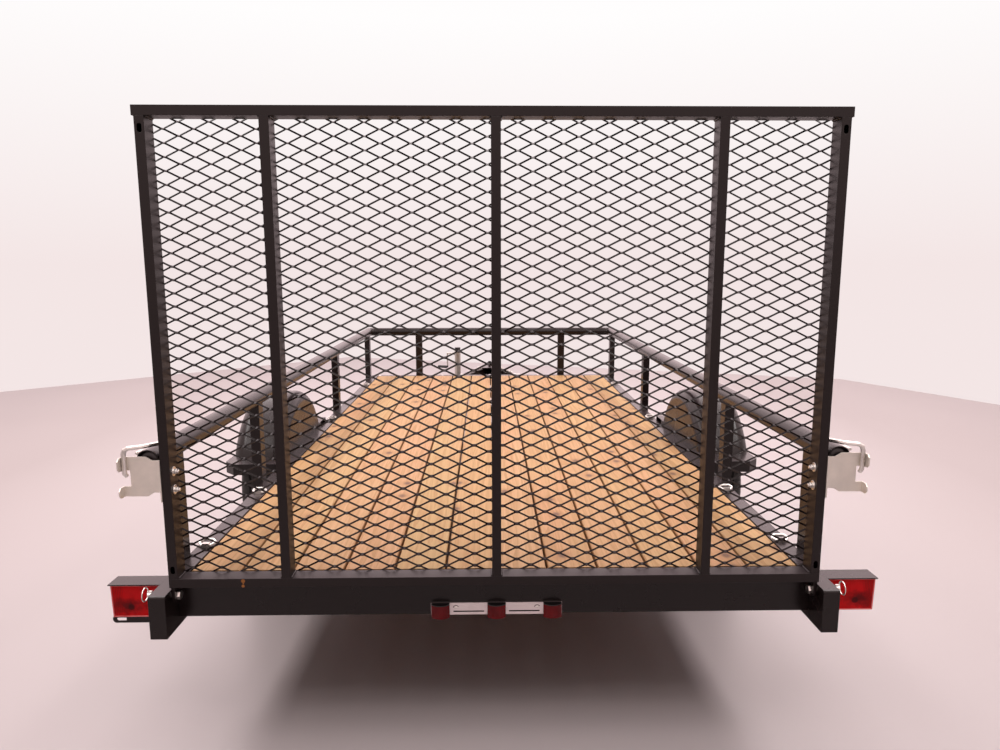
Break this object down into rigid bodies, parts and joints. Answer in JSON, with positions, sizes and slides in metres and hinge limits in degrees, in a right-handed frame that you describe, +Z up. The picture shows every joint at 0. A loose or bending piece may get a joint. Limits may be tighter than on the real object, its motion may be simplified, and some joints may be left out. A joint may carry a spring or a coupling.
{
  "type": "utility trailer",
  "caption": "Single-axle utility trailer with a board deck, pipe side rails, a mesh ramp gate at the back, an A-shaped tongue and a swivel jack.",
  "frame": {"origin": "middle of the trailer's footprint, on the ground", "axes": "+Y forward towards the coupler, +X to the trailer's right, +Z up"},
  "size_m": [2.321, 4.9328, 1.7759],
  "materials": {
    "black_paint": "satin black powder coat",
    "pine": "new treated pine",
    "zinc": "bright zinc plate",
    "tyre_rubber": "matt",
    "wheel_silver": "silver paint",
    "red_lens": "clear red"
  },
  "bodies": {
    "frame": {"side_rails": "black_paint", "rear_beam": "black_paint", "front_beam": "black_paint", "cross_members": "black_paint", "rail_posts": "black_paint", "top_rail_left": "black_paint", "top_rail_right": "black_paint", "top_rail_front": "black_paint", "hinge_blocks": "black_paint", "axle": "black_paint", "leaf_springs": "black_paint", "spring_hangers": "black_paint", "fender_left": "black_paint", "fender_right": "black_paint", "tongue_rail_left": "black_paint", "tongue_rail_right": "black_paint", "coupler": "black_paint", "lamp_brackets": "black_paint", "jack_bracket": "black_paint", "deck_boards": "pine", "hinge_pins": "zinc", "spring_clamps": "zinc", "id_light_bar": "zinc", "tie_loops": "zinc", "safety_chains": "zinc", "tail_lamps": "red_lens", "id_lamps": "red_lens"},
    "gate": {"gate_top_bar": "black_paint", "gate_bottom_bar": "black_paint", "gate_uprights": "black_paint", "gate_mesh_back": "black_paint", "gate_mesh_front": "black_paint", "gate_lugs": "black_paint", "latch_plates": "zinc", "latch_bails": "zinc"},
    "wheel_left": {"tyre_left": "tyre_rubber", "rim_left": "wheel_silver", "hub_left": "wheel_silver"},
    "wheel_right": {"tyre_right": "tyre_rubber", "rim_right": "wheel_silver", "hub_right": "wheel_silver"},
    "jack": {"jack_tube": "zinc", "jack_crank": "zinc"},
    "jack_foot": {"jack_leg": "zinc"}
  },
  "joints": [
    {"name": "gate_hinge", "type": "hinge", "parent": "frame", "child": "gate", "pos_m": [0, -2.40845, 0.45195], "axis": [1, 0, 0], "range_deg": [0, 108]},
    {"name": "wheel_left_spin", "type": "hinge", "parent": "frame", "child": "wheel_left", "pos_m": [-1.0505, -0.86645, 0.343], "axis": [1, 0, 0], "continuous": true},
    {"name": "wheel_right_spin", "type": "hinge", "parent": "frame", "child": "wheel_right", "pos_m": [1.0505, -0.86645, 0.343], "axis": [1, 0, 0], "continuous": true},
    {"name": "jack_swivel", "type": "hinge", "parent": "frame", "child": "jack", "pos_m": [-0.27941, 1.83528, 0.39365], "axis": [-0.9456, 0.3253, 0], "range_deg": [0, 90]},
    {"name": "jack_slide", "type": "slide", "parent": "jack", "child": "jack_foot", "axis": [0, 0, 1], "range_m": [-0.06, 0.18]}
  ]
}
